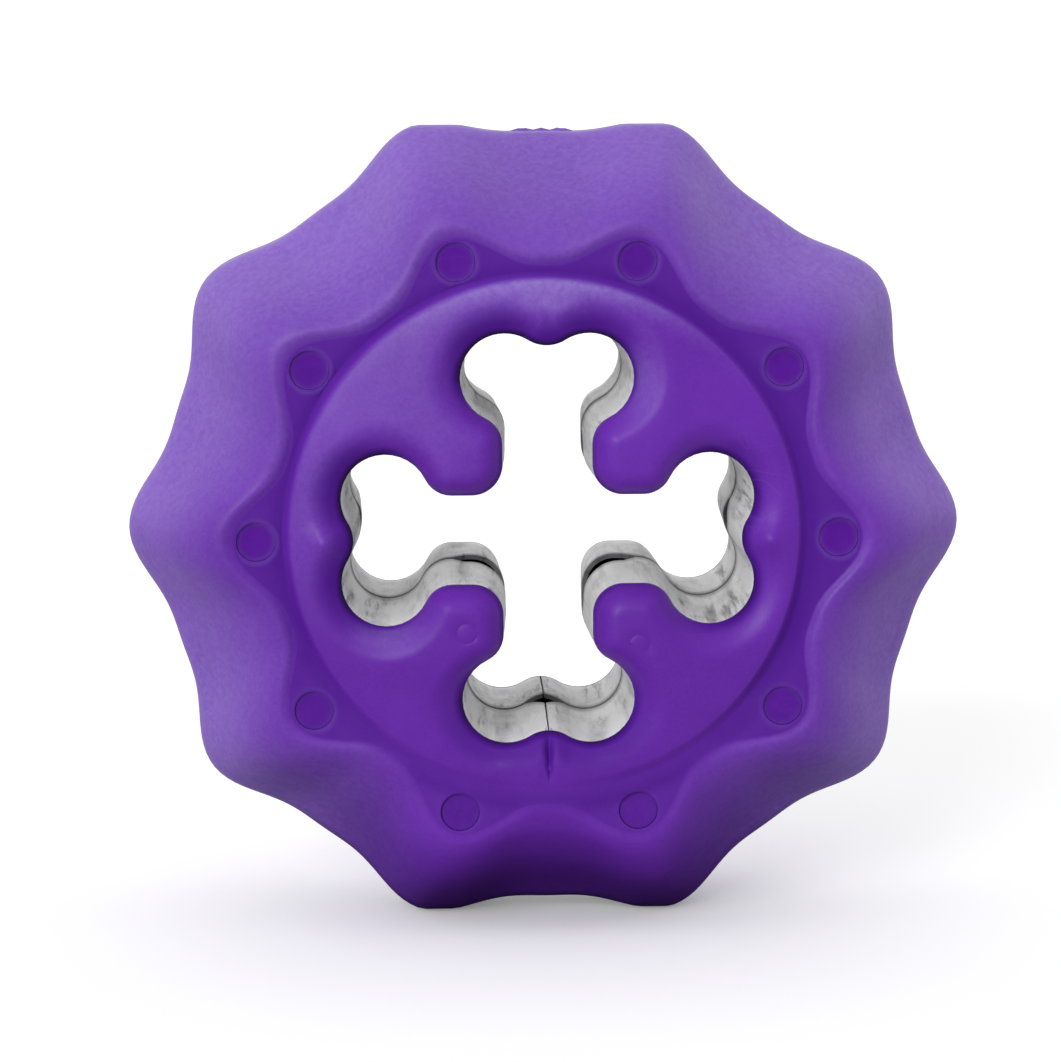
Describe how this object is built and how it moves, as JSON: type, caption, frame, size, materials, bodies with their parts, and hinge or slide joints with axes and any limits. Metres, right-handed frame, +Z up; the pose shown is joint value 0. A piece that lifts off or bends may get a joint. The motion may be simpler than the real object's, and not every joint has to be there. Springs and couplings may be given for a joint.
{
  "type": "chew stick holder",
  "caption": "Ten-sided scalloped ring in two halves that twist on each other, with a cross-shaped lined hole that grips a chew stick for a dog.",
  "frame": {"origin": "centre of the hole on the split line, which is the middle of the bounding box", "axes": "+Y along the hole from the front face to the rear, +X to the right as seen from the front, +Z up"},
  "size_m": [0.102, 0.043, 0.0972],
  "materials": {
    "purple_moulding": "satin moulded surface",
    "purple_pin": "satin moulded surface",
    "grip_grey": "satin with light smears",
    "plate_black": "matt",
    "clip_steel": "plain"
  },
  "bodies": {
    "front_half": {"front_shell": "purple_moulding", "front_grip_liner": "grip_grey", "front_bearing_plate": "plate_black", "front_pin_01": "purple_pin", "front_pin_02": "purple_pin", "front_pin_03": "purple_pin", "front_pin_04": "purple_pin", "front_pin_05": "purple_pin", "front_pin_06": "purple_pin", "front_pin_07": "purple_pin", "front_pin_08": "purple_pin", "front_pin_09": "purple_pin", "front_pin_10": "purple_pin"},
    "rear_half": {"rear_shell": "purple_moulding", "rear_grip_liner": "grip_grey", "rear_hub_plate": "plate_black", "retaining_ring": "clip_steel", "rear_pin_01": "purple_pin", "rear_pin_02": "purple_pin", "rear_pin_03": "purple_pin", "rear_pin_04": "purple_pin", "rear_pin_05": "purple_pin", "rear_pin_06": "purple_pin", "rear_pin_07": "purple_pin", "rear_pin_08": "purple_pin", "rear_pin_09": "purple_pin", "rear_pin_10": "purple_pin"}
  },
  "joints": [
    {"name": "twist", "type": "hinge", "parent": "front_half", "child": "rear_half", "pos_m": [0, 0, 0], "axis": [0, 1, 0], "range_deg": [0, 36]}
  ]
}
